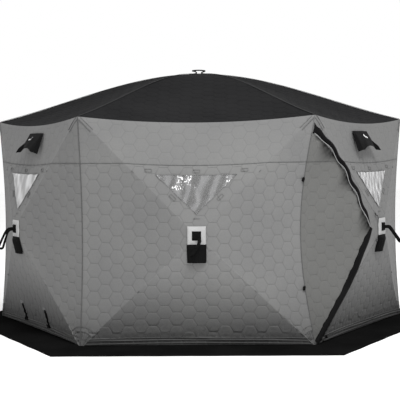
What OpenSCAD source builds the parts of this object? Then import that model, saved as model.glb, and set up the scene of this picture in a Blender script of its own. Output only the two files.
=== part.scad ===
// Six-sided pop-up ice fishing shelter: quilted walls and roof on sprung hubs and rods.
// The ground is z = 0, the plan's centre is the origin and the front wall faces -Y.

/* [Plan] */
// Length of each side of the plan between its corners
side_len = 1800; // [1600:10:2000]
// Width of the snow skirt outside the walls
skirt_w = 310; // [150:10:400]
// Thickness of the snow skirt
skirt_t = 6; // [3:1:7]

/* [Walls] */
// Height of the wall corners under the roof
eave_z = 1777; // [1650:1:1900]
// Height of the walls' lower hems
hem_z = 8; // [8:1:20]
// Height of the wall hubs
hub_z = 878; // [820:1:940]
// How far the cloth stands out at a wall hub
bulge = 190; // [170:1:210]
// Thickness of the quilted cloth
cloth_t = 4; // [3:0.5:5]
// Gap between neighbouring panels at a sewn seam
seam_gap = 1.5; // [1.5:0.5:3]

/* [Windows] */
// Half the width of a window's top edge
window_half_w = 305; // [200:5:330]
// Distance from the eave down the panel to a window's top edge
window_top = 447; // [420:1:480]
// Distance from the eave down the panel to a window's lower point
window_low = 753; // [600:1:780]
// Thickness of the clear film
film_t = 1.5; // [1:0.5:3]

/* [Vents] */
// Width of a vent hood at its hinge
hood_top_w = 320; // [200:10:340]
// Width of a vent hood at its lower edge
hood_low_w = 360; // [200:10:380]
// Length of a vent hood down its slope
hood_len = 175; // [120:5:200]
// Distance from the eave down the panel to a hood's hinge
hood_top = 120; // [100:5:140]
// Distance of a hood from the middle of its wall towards the front
hood_aside = 80; // [0:10:100]
// Angle at which a hood is propped off the wall
hood_prop = 18; // [10:1:50]

/* [Frame] */
// Diameter of the fibreglass rods
rod_d = 11; // [9:0.5:12]
// Depth of the wall hubs' pivots inside the cloth's peak
hub_depth = 42; // [38:1:50]
// Distance from a wall hub's middle to its pivots
hub_arm = 45; // [42:1:50]
// Diameter of the pivot pins
pin_d = 6; // [5:0.5:8]
// Gap round a pivot pin, all the way round
pin_clearance = 0.06; // [0.02:0.01:0.1]
// Distance along and up the wall from its corner to a rod's outer end
tip_inset = 53; // [50:1:60]
// Depth of a wall rod's outer end inside its wall's plane
tip_depth = 16; // [16:1:20]

/* [Roof] */
// Height of the roof above the wall corners
roof_rise = 413; // [380:1:450]
// Fullness of the roof's curve
roof_fullness = 1.1; // [0.8:0.1:1.1]
// Depth of the roof rods under the cloth
roof_drop = 28; // [26:1:32]
// How far a roof rod is bowed from straight
rod_bow = 45; // [30:1:45]
// Distance from the roof hub's middle to its pivots
roof_arm = 48; // [46:1:54]
// Distance from the middle to a roof rod's outer end
roof_tip_r = 1730; // [1720:1:1735]

/* [Hub covers] */
// Side of the square patch over a wall hub
patch_w = 148; // [120:1:150]
// Side of the square in the middle of a patch
boss_w = 69; // [50:1:80]
// Length of the flap that hangs below a patch
flap_len = 141; // [100:1:150]
// Width of the webbing
webbing_w = 25; // [20:1:38]
// Thickness of the webbing
webbing_t = 2; // [1.5:0.5:3]

/* [Hidden] */
WALLS = ["front", "front_right", "back_right", "back", "back_left", "front_left"];
RODS = ["upper_left", "upper_right", "lower_left", "lower_right"];

half_side = side_len / 2;
apothem = side_len * cos(30);
top_lean = atan2(bulge, eave_z - hub_z);
low_lean = atan2(bulge, hub_z - hem_z);
side_turn = atan2(bulge, half_side);
top_slant = norm([bulge, eave_z - hub_z]);
low_slant = norm([bulge, hub_z - hem_z]);
side_slant = norm([bulge, half_side]);
hub_out = bulge - hub_depth;
pin_r = pin_d / 2;
rod_r = rod_d / 2;
cap_r = rod_r + 1;
door_wall = 1;
left_vent_wall = 5;
ear_t = 4;
ear_z = 4.3;
ear_r = 9;
tongue_t = 8;
tongue_len = 17;
ferrule_r = 7.5;
ferrule_end = 60;
slot_half = 8;
cheek_t = 3;
opening_w = patch_w + 22;
opening_top = hub_z + patch_w / 2 + 11;
opening_low = hub_z - patch_w / 2 - flap_len - 14;
canopy_top_t = 0.94;
facet_rows = 6;
zip_gap = 14;
hinge_gap = 4;
grey = [0.55, 0.55, 0.54];
black = [0.09, 0.09, 0.09];

// Roof height at a share t of the way from a corner to the peak
function roof_z(t) = eave_z + roof_rise * (t + roof_fullness * t * t * (1 - t));

roof_pivot_z = roof_z(1 - roof_arm / side_len) - roof_drop;

// A triangle drawn in by a distance g from all three edges
function inset(p, g) =
    let (a = norm(p[1] - p[2]), b = norm(p[2] - p[0]), c = norm(p[0] - p[1]))
    let (edge = a + b + c, centre = (a * p[0] + b * p[1] + c * p[2]) / edge)
    let (area = abs(cross(p[1] - p[0], p[2] - p[0])) / 2, r = 2 * area / edge)
    [for (q = p) centre + (q - centre) * (1 - g / r)];

// Side -1 is left and 1 is right, and level 1 is upper and -1 is lower
function rod_tip(side, level) = [
    side * (half_side - tip_inset),
    tip_depth,
    level > 0 ? eave_z - tip_inset : hem_z + tip_inset
];
function rod_aim(side, level) =
    let (tip = rod_tip(side, level)) atan2(tip.z - hub_z, tip.x);
function rod_reach(side, level) =
    let (tip = rod_tip(side, level)) norm([tip.x, tip.z - hub_z]) - hub_arm;
function rod_slope(side, level) = atan2(hub_out + tip_depth, rod_reach(side, level));
function rod_len(side, level) = norm([rod_reach(side, level), hub_out + tip_depth]);

// Places: x runs along wall k, -y points out of it and z is up
module on_wall(k) {
    rotate([0, 0, 60 * k])
        translate([0, -apothem, 0])
            children();
}
module in_top() {
    translate([0, 0, eave_z])
        rotate([90 - top_lean, 0, 0])
            children();
}
module in_bottom() {
    translate([0, 0, hem_z])
        rotate([90 + low_lean, 0, 0])
            children();
}
module in_side(side) {
    translate([side * half_side, 0, 0])
        mirror([side > 0 ? 1 : 0, 0, 0])
            rotate([0, 0, -side_turn])
                rotate([90, 0, 0])
                    children();
}
module at_hub(side, level) {
    translate([0, -hub_out, hub_z])
        rotate([0, -rod_aim(side, level), 0])
            children();
}
module at_tip(side, level) {
    translate(rod_tip(side, level))
        rotate([0, -rod_aim(side, level), 0])
            children();
}

// Cloth under an outline, with its outer face on the outline's plane
module sheet(outline, t = cloth_t) {
    translate([0, 0, -t])
        linear_extrude(t)
            polygon(outline);
}
function top_outline() = [[-half_side, 0], [0, -top_slant], [half_side, 0]];
function low_outline() = [[-half_side, 0], [half_side, 0], [0, low_slant]];
function side_outline() = [[0, hem_z], [side_slant, hub_z], [0, eave_z]];
function window_outline() =
    [[-window_half_w, -window_top], [0, -window_low], [window_half_w, -window_top]];

module hub_opening() {
    cut_out = bulge + 50;
    translate([-opening_w / 2, -cut_out, opening_low])
        cube([opening_w, bulge, opening_top - opening_low]);
}
module wall(k) {
    cut_over = 1;
    color(grey)
        on_wall(k)
            difference() {
                union() {
                    in_top()
                        difference() {
                            sheet(inset(top_outline(), seam_gap));
                            translate([0, 0, cut_over])
                                sheet(window_outline(), cloth_t + 2 * cut_over);
                        }
                    in_bottom()
                        sheet(inset(low_outline(), seam_gap));
                    in_side(1)
                        sheet(inset(side_outline(), seam_gap));
                    if (k != door_wall)
                        in_side(-1)
                            sheet(inset(side_outline(), seam_gap));
                }
                hub_opening();
            }
}
module door_panel() {
    color([0.5, 0.5, 0.48])
        on_wall(door_wall)
            difference() {
                in_side(-1)
                    translate([hinge_gap - zip_gap, 0, 0])
                        sheet(inset(side_outline(), zip_gap));
                hub_opening();
            }
}
module window_films() {
    film_in = 1;
    film_gap = 0.5;
    color([0.9, 0.92, 0.93, 0.5])
        for (k = [0:5])
            on_wall(k)
                in_top()
                    translate([0, 0, -film_in])
                        sheet(inset(window_outline(), film_gap), film_t);
}
module tie_straps() {
    strap_spread = 250;
    strap_low = 60;
    strap_len = 145;
    strap_gap = 0.5;
    color(black)
        on_wall(left_vent_wall)
            in_bottom()
                for (side = [-1, 1])
                    translate([side * strap_spread - webbing_w / 2, strap_low, strap_gap])
                        cube([webbing_w, strap_len, webbing_t]);
}

// A hood is a stiffened flap that hangs from a cloth hinge along its top edge
module vent_hood(k) {
    hood_t = 3;
    hinge_out = 2;
    hinge_in = 3;
    aside = k == door_wall ? -hood_aside : hood_aside;
    color(black)
        on_wall(k)
            in_top()
                translate([aside, -hood_top, hinge_out])
                    rotate([-hood_prop, 0, 0])
                        linear_extrude(hood_t)
                            polygon([
                                [-hood_top_w / 2, -hinge_in],
                                [-hood_low_w / 2, -hood_len],
                                [hood_low_w / 2, -hood_len],
                                [hood_top_w / 2, -hinge_in]
                            ]);
}

// Roof: six curved facets sewn along the ridges
module roof_facet() {
    facet_t0 = 0.006;
    ts = [for (i = [0:facet_rows]) facet_t0 + (canopy_top_t - facet_t0) * i / facet_rows];
    function row(t, drop) = [
        for (s = [-1, 1]) [s * (half_side * (1 - t) - seam_gap), -apothem * (1 - t), roof_z(t) - drop]
    ];
    points = concat([for (t = ts) each row(t, 0)], [for (t = ts) each row(t, cloth_t)]);
    low = 2 * (facet_rows + 1);
    faces = concat(
        [for (i = [0:facet_rows - 1]) [2 * i, 2 * i + 2, 2 * i + 3, 2 * i + 1]],
        [for (i = [0:facet_rows - 1]) [low + 2 * i, low + 2 * i + 1, low + 2 * i + 3, low + 2 * i + 2]],
        [for (i = [0:facet_rows - 1]) [2 * i, low + 2 * i, low + 2 * i + 2, 2 * i + 2]],
        [for (i = [0:facet_rows - 1]) [2 * i + 1, 2 * i + 3, low + 2 * i + 3, low + 2 * i + 1]],
        [[0, 1, low + 1, low], [low - 2, 2 * low - 2, 2 * low - 1, low - 1]]
    );
    polyhedron(points, faces);
}
module roof_canopy() {
    color([0.16, 0.16, 0.17])
        for (k = [0:5])
            rotate([0, 0, 60 * k])
                roof_facet();
}
module roof_cap() {
    cap_gap = 10;
    cap_corner_r = side_len * (1 - canopy_top_t) - cap_gap;
    cap_t = 3;
    cap_top_z = roof_z(1) + 1;
    loop_w = 120;
    loop_h = 42;
    loop_t = 3;
    color(black) {
        translate([0, 0, cap_top_z - cap_t])
            linear_extrude(cap_t)
                circle(cap_corner_r, $fn = 6);
        translate([0, webbing_w / 2, cap_top_z])
            rotate([90, 0, 0])
                linear_extrude(webbing_w)
                    difference() {
                        resize([loop_w, 2 * loop_h])
                            circle(loop_h, $fn = 48);
                        resize([loop_w - 2 * loop_t, 2 * (loop_h - loop_t)])
                            circle(loop_h, $fn = 48);
                        translate([-loop_w, -2 * loop_h])
                            square([2 * loop_w, 2 * loop_h]);
                    }
    }
}
module snow_skirt() {
    skirt_in = 20;
    color(black)
        linear_extrude(skirt_t)
            difference() {
                circle(side_len + skirt_w / cos(30), $fn = 6);
                circle(side_len - skirt_in, $fn = 6);
            }
}

// A clevis arm and its pin, pointing along x with the pivot at distance arm
module clevis(arm) {
    root_x = 20;
    for (s = [0, 1])
        mirror([0, 0, s])
            translate([0, 0, ear_z]) {
                translate([root_x, -ear_r, 0])
                    cube([arm - root_x, 2 * ear_r, ear_t]);
                translate([arm, 0, 0])
                    cylinder(r = ear_r, h = ear_t, $fn = 32);
            }
    translate([arm, 0, -ear_z - ear_t])
        cylinder(r = pin_r, h = 2 * (ear_z + ear_t), $fn = 32);
}
module wall_hub(k) {
    hub_r = 30;
    hub_h = 26;
    color([0.12, 0.12, 0.13])
        on_wall(k) {
            for (side = [-1, 1], level = [-1, 1])
                at_hub(side, level)
                    clevis(hub_arm);
            translate([0, -hub_out + hub_h / 2, hub_z])
                rotate([90, 0, 0])
                    cylinder(r = hub_r, h = hub_h, $fn = 48);
        }
}
module roof_hub() {
    hub_r = 33;
    hub_h = 26;
    color([0.12, 0.12, 0.13])
        translate([0, 0, roof_pivot_z]) {
            for (k = [0:5])
                rotate([0, 0, 60 * k])
                    rotate([90, 0, 0])
                        clevis(roof_arm);
            translate([0, 0, -hub_h / 2])
                cylinder(r = hub_r, h = hub_h, $fn = 48);
        }
}
// The pivot end of a rod, along x with the pivot at the origin
module rod_eye() {
    difference() {
        union() {
            cylinder(r = ear_r - 1, h = tongue_t, center = true, $fn = 32);
            translate([0, -ear_r + 1, -tongue_t / 2])
                cube([tongue_len + 4, 2 * ear_r - 2, tongue_t]);
        }
        cylinder(r = pin_r + pin_clearance, h = tongue_t + 2, center = true, $fn = 32);
    }
    translate([tongue_len, 0, 0])
        rotate([0, 90, 0])
            cylinder(r = ferrule_r, h = ferrule_end - tongue_len, $fn = 32);
}
module wall_rod(k, side, level) {
    len = rod_len(side, level);
    cap_len = 30;
    color([0.75, 0.72, 0.62])
        on_wall(k)
            at_hub(side, level)
                translate([hub_arm, 0, 0])
                    rotate([0, 0, rod_slope(side, level)]) {
                        rod_eye();
                        translate([ferrule_end - 10, 0, 0])
                            rotate([0, 90, 0])
                                cylinder(r = rod_r, h = len - ferrule_end + 5, $fn = 32);
                        translate([len - cap_len, 0, 0])
                            rotate([0, 90, 0])
                                cylinder(r = cap_r, h = cap_len, $fn = 32);
                    }
}

// Roof rods are bent into a shallow arc between the roof hub and the corner
module roof_rod(k) {
    tip_z = roof_z(1 - roof_tip_r / side_len) - roof_drop;
    chord = norm([roof_tip_r - roof_arm, roof_pivot_z - tip_z]);
    chord_slope = atan2(roof_pivot_z - tip_z, roof_tip_r - roof_arm);
    arc_r = chord * chord / (8 * rod_bow) + rod_bow / 2;
    half_arc = asin(chord / 2 / arc_r);
    hidden_arc = (ferrule_end - 10) / arc_r * 180 / PI;
    color([0.75, 0.72, 0.62])
        rotate([0, 0, 60 * k])
            translate([roof_arm, 0, roof_pivot_z])
                rotate([90, 0, 0])
                    rotate([0, 0, -chord_slope]) {
                        rotate([0, 0, half_arc])
                            rod_eye();
                        translate([chord / 2, rod_bow - arc_r, 0])
                            rotate([0, 0, 90 - half_arc])
                                rotate_extrude(angle = 2 * half_arc - hidden_arc, $fn = 360)
                                    translate([arc_r, 0])
                                        circle(rod_r, $fn = 32);
                    }
}

// Corner brackets: forks that guide the rods' outer ends, joined by a post
module fork() {
    fork_h = 8;
    fork_in = 28;
    fork_out = 26;
    back_t = 4;
    for (s = [-1, 1])
        translate([-fork_in, -fork_h, s > 0 ? slot_half : -slot_half - cheek_t])
            cube([fork_in + fork_out, 2 * fork_h, cheek_t]);
    translate([fork_out - back_t, -fork_h, -slot_half - cheek_t])
        cube([back_t, 2 * fork_h, 2 * (slot_half + cheek_t)]);
}
module corner_bracket(k) {
    post_r = 14;
    post_in = 30;
    eave_post_z = eave_z - 58;
    eave_post_h = 30;
    base_post_h = 42;
    rail_in = 100;
    rail_out = 16;
    rail_low = 20;
    rail_z = roof_z(1 - roof_tip_r / side_len) - roof_drop - rail_low;
    rail_h = 22;
    floor_in = 56;
    floor_t = 4;
    for (level = [-1, 1]) {
        on_wall(k)
            at_tip(1, level)
                fork();
        on_wall(k + 1)
            at_tip(-1, level)
                fork();
    }
    rotate([0, 0, 60 * k - 60]) {
        translate([side_len - post_in, 0, eave_post_z])
            cylinder(r = post_r, h = eave_post_h, $fn = 32);
        translate([side_len - post_in, 0, hem_z])
            cylinder(r = post_r, h = base_post_h, $fn = 32);
        for (s = [-1, 1])
            translate([side_len - rail_in, s > 0 ? slot_half : -slot_half - cheek_t, rail_z])
                cube([rail_in - rail_out, cheek_t, rail_h]);
        translate([side_len - floor_in, -slot_half - cheek_t, rail_z])
            cube([floor_in - rail_out, 2 * (slot_half + cheek_t), floor_t]);
    }
}
module corner_brackets() {
    color([0.12, 0.12, 0.13])
        for (k = [0:5])
            corner_bracket(k);
}

// Covers: a pale patch, a dark centre square, a flap below it and a pull strap
module hub_cover(k) {
    patch_t = 2;
    patch_out = bulge - 16;
    boss_t = 3;
    flap_in = 8;
    strap_len = 150;
    strap_angle = 24;
    on_wall(k) {
        color([0.8, 0.8, 0.8])
            translate([-patch_w / 2, -patch_out - patch_t, hub_z - patch_w / 2])
                cube([patch_w, patch_t, patch_w]);
        color(black) {
            translate([-boss_w / 2, -patch_out - patch_t - boss_t, hub_z - boss_w / 2])
                cube([boss_w, boss_t, boss_w]);
            translate([-patch_w / 2, -patch_out, hub_z - patch_w / 2 + flap_in])
                rotate([low_lean, 0, 0])
                    translate([0, -patch_t, -flap_len - flap_in])
                        cube([patch_w, patch_t, flap_len]);
            translate([0, -patch_out - patch_t, hub_z])
                rotate([0, strap_angle, 0])
                    translate([-webbing_w / 2, -boss_t - 1, -strap_len])
                        cube([webbing_w, webbing_t, strap_len]);
        }
    }
}

// Sliders run along the zips between the door panel and its wall
module zip_slider(level) {
    corner_z = level > 0 ? eave_z : hem_z;
    zip_aim = atan2(corner_z - hub_z, -half_side);
    zip_slope = atan2(bulge, norm([half_side, corner_z - hub_z]));
    start_x = 165;
    aside = 9 * level;
    body_size = [24, 7, 10];
    body_out = 2;
    tab_size = [40, 2, 8];
    tab_back = 30;
    color([0.1, 0.1, 0.1])
        on_wall(door_wall)
            translate([0, -bulge, hub_z])
                rotate([0, -zip_aim, 0])
                    rotate([0, 0, zip_slope])
                        translate([start_x, 0, aside]) {
                            translate([0, -body_out, -body_size.z / 2])
                                cube(body_size);
                            translate([-tab_back, -body_out - tab_size.y, -tab_size.z / 2])
                                cube(tab_size);
                        }
}

roof_canopy();
snow_skirt();
door_panel();
window_films();
corner_brackets();
tie_straps();
vent_hood(left_vent_wall);  // vent_hood_left
vent_hood(door_wall);  // vent_hood_right
zip_slider(1);  // zip_slider_upper
zip_slider(-1);  // zip_slider_lower
roof_hub();
roof_cap();
for (k = [0:5]) wall(k);
for (k = [0:5]) wall_hub(k);
for (k = [0:5]) hub_cover(k);
for (k = [0:5], i = [0:3])
    wall_rod(k, i % 2 * 2 - 1, i < 2 ? 1 : -1);
for (k = [1:6]) roof_rod(k);
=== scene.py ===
import math
import random

import bmesh
import bpy
import numpy as np
from mathutils import Matrix, Vector


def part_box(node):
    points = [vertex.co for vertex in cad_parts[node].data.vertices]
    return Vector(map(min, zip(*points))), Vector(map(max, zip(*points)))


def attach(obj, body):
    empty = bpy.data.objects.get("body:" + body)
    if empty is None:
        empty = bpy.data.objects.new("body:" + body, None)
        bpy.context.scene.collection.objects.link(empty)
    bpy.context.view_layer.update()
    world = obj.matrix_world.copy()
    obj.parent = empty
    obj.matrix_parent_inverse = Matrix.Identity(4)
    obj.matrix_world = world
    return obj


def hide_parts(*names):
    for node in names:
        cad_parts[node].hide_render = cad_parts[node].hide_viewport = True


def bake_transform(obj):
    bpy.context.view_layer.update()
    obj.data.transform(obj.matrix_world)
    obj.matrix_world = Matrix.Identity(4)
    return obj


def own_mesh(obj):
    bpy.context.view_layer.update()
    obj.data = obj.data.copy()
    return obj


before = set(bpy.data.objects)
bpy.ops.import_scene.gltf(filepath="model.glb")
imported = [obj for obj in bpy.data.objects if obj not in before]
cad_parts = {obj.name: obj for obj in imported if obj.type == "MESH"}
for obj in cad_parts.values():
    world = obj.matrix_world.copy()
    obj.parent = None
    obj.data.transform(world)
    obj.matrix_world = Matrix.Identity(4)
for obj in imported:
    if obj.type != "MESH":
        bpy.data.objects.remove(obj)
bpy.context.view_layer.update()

# ---- driving dimensions, in metres, as in the CAD frame ----
SEAM_GAP = 0.001
WALL_LOW, WALL_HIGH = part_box("wall_front")
HALF = WALL_HIGH[0] + SEAM_GAP
SIDE = 2 * HALF
APOTHEM = SIDE * math.cos(math.radians(30))
HEM = WALL_LOW[2] - SEAM_GAP
EAVE = WALL_HIGH[2] + SEAM_GAP
SKIRT_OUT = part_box("snow_skirt")[1][1] - APOTHEM
HUB_Z = 0.878
BULGE = 0.190
ROOF_RISE = 0.413
ROOF_FULL = 1.1
BAND_Z = 1.42            # height of the level seam across a wall
WALLS = ["front", "front_right", "back_right", "back", "back_left", "front_left"]
SQUARE_WALLS = (0, 3)    # the front and back walls
DOOR_WALL = 1
STRAP_WALL = 5
VENT_WALLS = {5: "left", 1: "right"}
ROOT = "shelter"

# ---- camera, lights and floor ----
CAM_PLACE = (0.149, -9.880, 1.525)
CAM_PITCH = 2.673
CAM_YAW = 0.853
CAM_ROLL = -0.414
CAM_LENS = 98.7
LAMP_SIZE = 2.5
LAMPS = {"key": ((1.5, -6.0, 6.2), (0, -1.2, 1.0), 520),
         "rim_right": ((6.5, 4.5, 3.0), (1.4, 0, 1.1), 105),
         "rim_left": ((-6.0, 5.0, 3.0), (-1.4, 0, 1.1), 60)}
FLOOR_SIZE = 60


def link_object(name, data):
    obj = bpy.data.objects.new(name, data)
    bpy.context.scene.collection.objects.link(obj)
    return obj


def make_camera():
    data = bpy.data.cameras.new("camera")
    data.sensor_width = 36
    data.lens = CAM_LENS
    turn = (Matrix.Rotation(math.radians(CAM_YAW), 4, "Z")
            @ Matrix.Rotation(math.radians(90 - CAM_PITCH), 4, "X")
            @ Matrix.Rotation(math.radians(CAM_ROLL), 4, "Z"))
    cam = link_object("camera", data)
    cam.matrix_world = Matrix.Translation(CAM_PLACE) @ turn
    bpy.context.scene.camera = cam


def area_light(name, place, target, watts):
    data = bpy.data.lights.new(name, "AREA")
    data.shape = "DISK"
    data.size = LAMP_SIZE
    data.energy = watts
    lamp = link_object(name, data)
    lamp.location = place
    aim = Vector(target) - Vector(place)
    lamp.rotation_euler = aim.to_track_quat("-Z", "Y").to_euler()


def make_studio():
    world = bpy.data.worlds.new("studio")
    world.use_nodes = True
    sky = world.node_tree.nodes["Background"]
    sky.inputs["Color"].default_value = (1.0, 1.0, 1.0, 1)
    sky.inputs["Strength"].default_value = 1.0
    bpy.context.scene.world = world
    bpy.context.scene.view_settings.view_transform = "Standard"
    for name, (place, target, watts) in LAMPS.items():
        area_light(name, place, target, watts)
    bpy.ops.mesh.primitive_plane_add(size=FLOOR_SIZE, location=(0, 0, 0))
    floor = bpy.context.object
    floor.name = "floor"
    floor.data.materials.append(floor_material())


# ---- materials ----
def rgb(tone):
    """A colour, given as three numbers, or as one for a grey."""
    return (tone,) * 3 if isinstance(tone, (int, float)) else tone


class Nodes:
    """A material's node tree, with short ways to add nodes. A source is a (node, output) pair."""

    def __init__(self, name):
        self.mat = bpy.data.materials.new(name)
        self.mat.use_nodes = True
        self.tree = self.mat.node_tree
        self.bsdf = self.tree.nodes["Principled BSDF"]

    def link(self, source, node, socket):
        self.tree.links.new(source[0].outputs[source[1]], node.inputs[socket])

    def add(self, kind, **values):
        node = self.tree.nodes.new(f"ShaderNode{kind}")
        for key, value in values.items():
            if key in node.inputs:
                node.inputs[key].default_value = value
            else:
                setattr(node, key, value)
        return node

    def fill(self, node, socket, value):
        """Joins a source to a socket, or sets it to a number or a colour."""
        if isinstance(value, (int, float)):
            node.inputs[socket].default_value = value
        elif isinstance(value[0], bpy.types.Node):
            self.link(value, node, socket)
        else:
            node.inputs[socket].default_value = (*value, 1)

    def place(self, node, stretch):
        """Feeds a texture the object's coordinates, which may be stretched."""
        source = self.add("TexCoord"), "Object"
        if stretch is not None:
            size = self.add("Mapping", Scale=stretch)
            self.link(source, size, "Vector")
            source = size, "Vector"
        self.link(source, node, "Vector")
        return node, "Fac"

    def noise(self, scale, detail=3.0, roughness=0.55, stretch=None):
        node = self.add("TexNoise", Scale=scale, Detail=detail, Roughness=roughness)
        return self.place(node, stretch)

    def wave(self, scale, distortion, direction, detail=2.0, stretch=None):
        node = self.add("TexWave", Scale=scale, Distortion=distortion, Detail=detail,
                        bands_direction=direction)
        return self.place(node, stretch)

    def attribute(self, name, output):
        return self.add("Attribute", attribute_name=name), output

    def ramp(self, source, *stops):
        node = self.add("ValToRGB")
        elements = node.color_ramp.elements
        while len(elements) < len(stops):
            elements.new(0.5)
        for element, (place, tone) in zip(elements, stops):
            element.position = place
            element.color = (*rgb(tone), 1)
        self.link(source, node, "Fac")
        return node, "Color"

    def mix(self, blend, share, a, b):
        """a and b are colours or sources, and share is a number or a source."""
        node = self.add("Mix", data_type="RGBA", blend_type=blend)
        for socket, value in ((0, share), (6, a), (7, b)):
            self.fill(node, socket, value)
        return node, 2

    def math(self, operation, a, b):
        node = self.add("Math", operation=operation)
        self.fill(node, 0, a)
        self.fill(node, 1, b)
        return node, 0

    def bump(self, source, strength, distance, below=None):
        node = self.add("Bump", Strength=strength, Distance=distance)
        self.link(source, node, "Height")
        if below is not None:
            self.link(below, node, "Normal")
        return node, "Normal"

    def finish(self, sources, **numbers):
        """Joins the sources to the shader's sockets by name and sets its uniform numbers."""
        for socket, source in sources.items():
            self.link(source, self.bsdf, socket)
        for key, value in numbers.items():
            self.bsdf.inputs[key.replace("_", " ")].default_value = value
        return self.mat


def floor_material():
    n = Nodes("studio_floor")
    tone = n.ramp(n.noise(0.6, 2), (0.3, 0.93), (0.7, 0.97))
    return n.finish({"Base Color": tone}, Roughness=0.8)


def cloth(name, dark, light, weave=900.0, use_painted_light=False, quilt=False, sheen=0.0, gloss=0.1, crease=0.35):
    """Woven coated cloth: fine weave, tonal drift, darker stitch lines that are partly painted crease shade,
    and painted shade and highlights from a colour attribute.
    """
    n = Nodes(name)
    drift = n.noise(2.2, 4)
    tone = n.ramp(drift, (0.3, dark), (0.7, light))
    flecks = n.ramp(n.noise(160.0, 2), (0.35, 0.9), (0.65, 1.0))
    colour = n.mix("MULTIPLY", 0.6, tone, flecks)
    # stitch lines: real stitching, darkened further as painted shade in the quilting's creases
    if quilt:
        line = n.ramp(n.attribute("stitch", "Fac"), (0.0, 0.74), (0.03, 0.84), (0.06, 1.0))
        colour = n.mix("MULTIPLY", 0.9, colour, line)
    # painted shade and painted highlights, read from the cloth's colour attribute
    if use_painted_light:
        colour = n.mix("MULTIPLY", 1.0, colour, n.attribute("painted_light", "Color"))
    rough = n.ramp(drift, (0.3, 0.77), (0.7, 0.90))
    weft = n.wave(weave, 0.6, "Z")
    fine = n.bump(n.mix("LIGHTEN", 1.0, n.wave(weave, 0.6, "X"), weft), 0.25, 0.0004)
    hung = n.bump(n.noise(9.0, 3, 0.5, (5.0, 5.0, 0.5)), 0.12, 0.004, fine)
    soft = n.bump(n.noise(26.0, 5, 0.6), crease, 0.004, hung)
    return n.finish({"Base Color": colour, "Roughness": rough, "Normal": soft},
                    Sheen_Weight=sheen, Sheen_Roughness=0.5, Specular_IOR_Level=gloss)


def plastic(name, dark, light, rough=0.45):
    n = Nodes(name)
    drift = n.noise(30.0, 3)
    tone = n.ramp(drift, (0.35, dark), (0.65, light))
    rough_tone = n.ramp(drift, (0.3, rough - 0.1), (0.7, rough + 0.1))
    grain = n.bump(n.noise(900.0, 2), 0.2, 0.0003)
    return n.finish({"Base Color": tone, "Roughness": rough_tone, "Normal": grain})


def webbing_material():
    n = Nodes("black_webbing")
    tone = n.ramp(n.noise(60.0, 3), (0.3, 0.003), (0.7, 0.006))
    ribs = n.bump(n.wave(260.0, 0.4, "DIAGONAL"), 0.5, 0.0006)
    return n.finish({"Base Color": tone, "Normal": ribs}, Roughness=0.8, Specular_IOR_Level=0.02)


def film_material(name, haze, opacity, glints):
    """Clear flexible film over a closed cloth cover: milky folds, with small painted glints on some."""
    n = Nodes(name)
    folds = n.wave(7.0, 5.0, "DIAGONAL", 1.0, (1.0, 1.0, -0.6))
    low, high = haze
    tone = n.ramp(folds, (0.1, low), (0.9, (high, high, high * 1.01)))
    # painted glints: pale specks where two noises overlap
    spots = n.ramp(n.noise(110.0, 1, 0.4, (1.0, 1.0, 0.6)), (0.60, 0), (0.63, 1))
    areas = n.ramp(n.noise(6.0, 1), (0.50, 0), (0.56, glints))
    mask = n.math("MULTIPLY", spots, areas)
    colour = n.mix("MIX", mask, tone, (0.75, 0.75, 0.75))
    see = n.ramp(folds, (0.1, opacity[0]), (0.9, opacity[1]))
    ripples = n.bump(n.noise(18.0, 1, 0.4, (1.6, 1.6, 0.8)), 0.08, 0.002)
    return n.finish({"Base Color": colour, "Alpha": n.math("MAXIMUM", see, mask), "Normal": ripples},
                    Roughness=0.38, Specular_IOR_Level=0.3)


QUILT_PAINTED_LIGHT = {"use_painted_light": True, "quilt": True, "sheen": 0.05}
TRIM = {"weave": 500, "sheen": 0.05}
CLOTHS = {
    "wall": ("wall_cloth", 0.128, (0.146, 0.146, 0.144), {**QUILT_PAINTED_LIGHT, "crease": 0.45}),
    "door": ("door_cloth", (0.108, 0.108, 0.105), (0.122, 0.122, 0.118), QUILT_PAINTED_LIGHT),
    "roof": ("roof_cloth", (0.010, 0.010, 0.0105), (0.0145, 0.0145, 0.015), {"quilt": True, "gloss": 0.02}),
    # lighter than the roof cloth: painted highlight along the ridges
    "ridge": ("ridge_cloth", (0.016, 0.016, 0.0165), (0.022, 0.022, 0.0225), {}),
    "lining": ("lining_cloth", (0.012, 0.012, 0.013), 0.02, {}),
    "skirt": ("skirt_cloth", 0.004, 0.007, {"gloss": 0.0}),
    "black": ("black_cloth", (0.003, 0.003, 0.0032), 0.006, {"weave": 500, "gloss": 0.04}),
    "thread": ("seam_thread", 0.078, 0.096, {"weave": 300}),
    "pale": ("patch_cloth", 0.28, 0.35, TRIM),
    "piping": ("piping_cloth", 0.20, 0.26, TRIM),
    "faded": ("faded_cloth", (0.085, 0.085, 0.084), (0.11, 0.11, 0.109), TRIM),
    # pale streak on the vent hoods: painted highlight
    "bright": ("hood_painted_highlight", 0.45, 0.6, TRIM),
}
SHUT_OPACITY = (0.75, 0.92)
# one clear film in three looks: the front one has painted glints; the side ones' more opaque haze is painted
# reflection of the bright surroundings, brightest on the left
FILMS = {
    "film": ("clear_film", (0.145, 0.21), (0.35, 0.6), 1.0),
    "left_film_painted_reflection": ("clear_film_left_painted_reflection", (0.29, 0.40), SHUT_OPACITY, 0.0),
    "right_film_painted_reflection": ("clear_film_right_painted_reflection", (0.14, 0.22), SHUT_OPACITY, 0.0),
}


def materials():
    m = {key: cloth(name, dark, light, **looks) for key, (name, dark, light, looks) in CLOTHS.items()}
    m.update({key: film_material(*looks) for key, looks in FILMS.items()})
    m["webbing"] = webbing_material()
    m["plastic"] = plastic("hub_plastic", (0.012, 0.012, 0.013), (0.022, 0.022, 0.023))
    m["rod"] = plastic("rod_glass_fibre", (0.35, 0.33, 0.27), (0.5, 0.47, 0.38), 0.35)
    return m


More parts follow.
